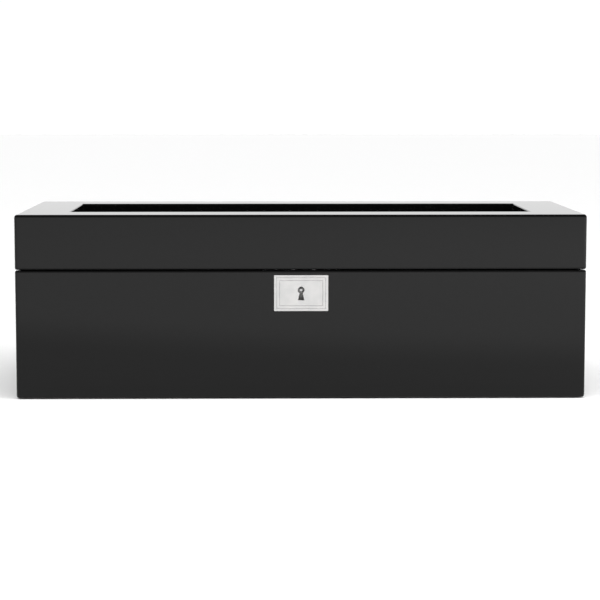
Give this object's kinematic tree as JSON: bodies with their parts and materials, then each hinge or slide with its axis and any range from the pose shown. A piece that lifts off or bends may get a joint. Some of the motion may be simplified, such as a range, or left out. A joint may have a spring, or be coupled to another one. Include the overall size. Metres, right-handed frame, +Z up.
{
  "type": "watch box",
  "caption": "Long lacquered storage box with a hinged lid, a glass window in the lid, a lined interior with compartments and cushions, and a lock in the front wall.",
  "frame": {"origin": "centre of the underside of the felt on the base, where the box stands", "axes": "+Z up, +X along the box's length to the right, -Y towards the front with the lock"},
  "size_m": [0.362, 0.1585, 0.1174],
  "materials": {
    "black_lacquer": "high-gloss black lacquer on board",
    "black_board": "matt stained board",
    "black_felt": "glued felt",
    "charcoal_suede": "short-nap suede cloth on card",
    "black_leather": "soft grained leather over foam",
    "clear_glass": "polished clear",
    "satin_nickel": "satin nickel plate",
    "lock_steel": "bright pressed steel"
  },
  "bodies": {
    "case": {"base_felt": "black_felt", "case_base": "black_board", "case_front": "black_lacquer", "case_back": "black_lacquer", "case_left": "black_lacquer", "case_right": "black_lacquer", "case_liner_front": "charcoal_suede", "case_liner_back": "charcoal_suede", "case_liner_left": "charcoal_suede", "case_liner_right": "charcoal_suede", "floor_pad": "charcoal_suede", "divider_1": "charcoal_suede", "divider_2": "charcoal_suede", "divider_3": "charcoal_suede", "divider_4": "charcoal_suede", "hinge_left_case_leaf": "satin_nickel", "hinge_left_case_screw_1": "satin_nickel", "hinge_left_case_screw_2": "satin_nickel", "hinge_left_pin": "satin_nickel", "hinge_right_case_leaf": "satin_nickel", "hinge_right_case_screw_1": "satin_nickel", "hinge_right_case_screw_2": "satin_nickel", "hinge_right_pin": "satin_nickel", "lock_plate": "satin_nickel", "lock_face_plate": "satin_nickel", "lock_face_screw_1": "satin_nickel", "lock_face_screw_2": "satin_nickel", "lock_tray": "lock_steel", "lock_cover": "lock_steel", "lock_post": "lock_steel", "lock_spring": "lock_steel"},
    "lid": {"lid_top_frame": "black_lacquer", "lid_front": "black_lacquer", "lid_back": "black_lacquer", "lid_left": "black_lacquer", "lid_right": "black_lacquer", "window_glass": "clear_glass", "glass_retainer": "charcoal_suede", "lid_liner_front": "charcoal_suede", "lid_liner_back": "charcoal_suede", "lid_liner_left": "charcoal_suede", "lid_liner_right": "charcoal_suede", "hinge_left_lid_leaf": "satin_nickel", "hinge_left_lid_screw_1": "satin_nickel", "hinge_left_lid_screw_2": "satin_nickel", "hinge_right_lid_leaf": "satin_nickel", "hinge_right_lid_screw_1": "satin_nickel", "hinge_right_lid_screw_2": "satin_nickel", "lock_strike": "satin_nickel", "lock_strike_screw_1": "satin_nickel", "lock_strike_screw_2": "satin_nickel"},
    "lock_bolt": {"lock_bolt": "lock_steel"},
    "cushion_1": {"cushion_1": "black_leather"},
    "cushion_2": {"cushion_2": "black_leather"},
    "cushion_3": {"cushion_3": "black_leather"},
    "cushion_4": {"cushion_4": "black_leather"},
    "cushion_5": {"cushion_5": "black_leather"}
  },
  "joints": [
    {"name": "lid_hinge", "type": "hinge", "parent": "case", "child": "lid", "pos_m": [0, 0.075, 0.0824], "axis": [-1, 0, 0], "range_deg": [0, 95]},
    {"name": "lock_bolt_throw", "type": "slide", "parent": "case", "child": "lock_bolt", "axis": [1, 0, 0], "range_m": [0, 0.0034]},
    {"name": "cushion_1_lift", "type": "slide", "parent": "case", "child": "cushion_1", "axis": [0, 0, 1], "range_m": [0, 0.043]},
    {"name": "cushion_2_lift", "type": "slide", "parent": "case", "child": "cushion_2", "axis": [0, 0, 1], "range_m": [0, 0.043]},
    {"name": "cushion_3_lift", "type": "slide", "parent": "case", "child": "cushion_3", "axis": [0, 0, 1], "range_m": [0, 0.043]},
    {"name": "cushion_4_lift", "type": "slide", "parent": "case", "child": "cushion_4", "axis": [0, 0, 1], "range_m": [0, 0.043]},
    {"name": "cushion_5_lift", "type": "slide", "parent": "case", "child": "cushion_5", "axis": [0, 0, 1], "range_m": [0, 0.043]}
  ]
}
